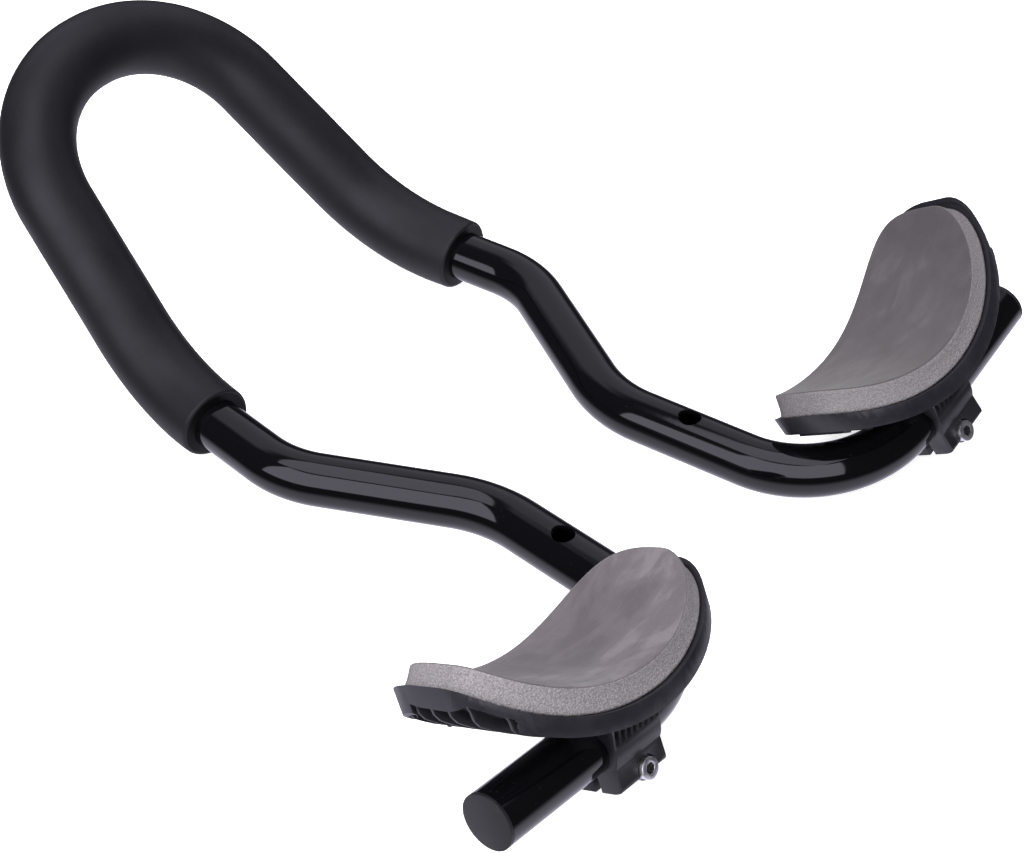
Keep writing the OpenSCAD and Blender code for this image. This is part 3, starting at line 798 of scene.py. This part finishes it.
def studio_world():
    world = bpy.data.worlds.new("studio")
    bpy.context.scene.world = world
    world.use_nodes = True
    n = Nodes(world.node_tree)
    look = n.add("ShaderNodeTexCoord").outputs["Generated"]
    split = n.add("ShaderNodeSeparateXYZ", Vector=look)
    x, y, z = split.outputs
    flat = n.math("SQRT", n.math("ADD", n.math("MULTIPLY", x, x), n.math("MULTIPLY", y, y)))
    east = n.math("DIVIDE", x, flat)
    north = n.math("DIVIDE", y, flat)

    def towards(azimuth, inner, outer):
        """1 within inner degrees of an azimuth, 0 outside outer degrees."""
        a = math.radians(azimuth)
        along = n.math("ADD", n.math("MULTIPLY", east, math.sin(a)),
                       n.math("MULTIPLY", north, math.cos(a)))
        return n.span(along, math.cos(math.radians(outer)), math.cos(math.radians(inner)),
                      smooth=True)

    def between(low0, low1, high0, high1):
        """1 between two elevations, with soft edges."""
        s = [math.sin(math.radians(v)) for v in (low0, low1, high0, high1)]
        return n.math("MULTIPLY", n.span(z, s[0], s[1], smooth=True),
                      n.span(z, s[3], s[2], smooth=True))

    table = n.span(z, math.sin(math.radians(-12)), math.sin(math.radians(-34)), smooth=True)
    window = n.math("MULTIPLY", towards(-106, 41, 43), between(9, 12, 61, 62))
    far_wall = n.math("MULTIPLY", towards(52, 52, 72), between(4, 22, 56, 66))
    up = n.math("MAXIMUM", z, 0.02)
    over_x = n.math("DIVIDE", x, up)
    over_y = n.math("DIVIDE", y, up)
    box_x = n.math("MULTIPLY", n.span(over_x, -0.45, -0.44), n.span(over_x, 0.34, 0.33))
    box_y = n.math("MULTIPLY", n.span(over_y, -0.36, -0.35), n.span(over_y, 0.40, 0.39))
    soft_box = n.math("MULTIPLY", n.math("MULTIPLY", box_x, box_y),
                      n.math("GREATER_THAN", z, 0.3))
    total = n.math("ADD", table, n.math("MULTIPLY", window, 2.3))
    total = n.math("ADD", total, n.math("MULTIPLY", far_wall, 0.62))
    total = n.math("ADD", total, n.math("MULTIPLY", soft_box, 1.7))
    total = n.math("ADD", total, 0.05)
    ray = n.add("ShaderNodeLightPath")
    to_white = n.math("MULTIPLY", ray.outputs["Is Camera Ray"], n.math("SUBTRACT", 1.0, total))
    seen = n.math("ADD", to_white, total)
    even = n.math("MULTIPLY", ray.outputs["Is Diffuse Ray"], n.span(z, -1.0, 1.0, 0.16, 0.66))
    strength = n.math("MAXIMUM", seen, even)
    tint = n.mix(ray.outputs["Is Glossy Ray"], (1.0, 1.0, 1.0), (0.93, 0.91, 1.08))
    back = n.add("ShaderNodeBackground", Color=tint, Strength=strength)
    n.add("ShaderNodeOutputWorld", Surface=back.outputs[0])


def area_light(name, place, aim, size, power):
    data = bpy.data.lights.new(name, "AREA")
    data.shape = "RECTANGLE"
    data.size, data.size_y = size
    data.energy = power
    obj = bpy.data.objects.new(name, data)
    bpy.context.scene.collection.objects.link(obj)
    obj.location = place
    obj.rotation_euler = (Vector(aim) - Vector(place)).to_track_quat("-Z", "Y").to_euler()
    obj.visible_glossy = False
    obj.visible_camera = False


def pale_floor(height):
    mesh = bpy.data.meshes.new("floor")
    s = 6.0
    corners = [(-s, -s, height), (s, -s, height), (s, s, height), (-s, s, height)]
    mesh.from_pydata(corners, [], [(0, 1, 2, 3)])
    obj = bpy.data.objects.new("floor", mesh)
    bpy.context.scene.collection.objects.link(obj)

    def look(n, shader, where):
        shade = n.noise(where, 3.0, 2)
        n.put(shader.inputs["Base Color"], n.mix(shade, (0.93, 0.93, 0.93), (0.95, 0.95, 0.95)))
    mesh.materials.append(material("pale_floor", look, Roughness=0.9, Emission_Color=(1, 1, 1, 1),
                                   Emission_Strength=0.62))
    obj.visible_glossy = False
    obj.visible_diffuse = False


studio_world()
area_light("soft_box_over", (-0.1, 0.1, 1.3), (0, 0.05, 0), (1.1, 1.0), 16)
area_light("soft_box_left", (-1.3, 0.25, 0.8), (0, 0.05, 0), (1.0, 0.8), 11)
area_light("soft_box_right", (0.9, 0.9, 0.9), (0, 0.05, 0), (0.8, 0.8), 2)
area_light("soft_box_rear", (-0.35, -1.1, 0.35), (0, -0.05, 0), (0.5, 0.35), 3.5)
pale_floor(cad_box[0].z - 0.0004)

scene = bpy.context.scene
scene.view_settings.view_transform = "Standard"
scene.view_settings.look = "None"


# Camera, solved from the photo

lens = bpy.data.cameras.new("camera")
lens.sensor_width = 36.0
lens.lens = 74.58
lens.shift_x = -0.0039
lens.shift_y = -0.0037
lens.clip_start, lens.clip_end = 0.05, 50
camera = bpy.data.objects.new("camera", lens)
scene.collection.objects.link(camera)
right = Vector((0.625301, -0.779767, -0.031030))
down = Vector((-0.534673, -0.399117, -0.744869))
ahead = Vector((0.568440, 0.482358, -0.666488))
camera.matrix_world = Matrix.Translation((-0.502032, -0.367977, 0.595738)) @ Matrix(
    [[right[i], -down[i], -ahead[i]] for i in range(3)]).to_4x4()
scene.camera = camera
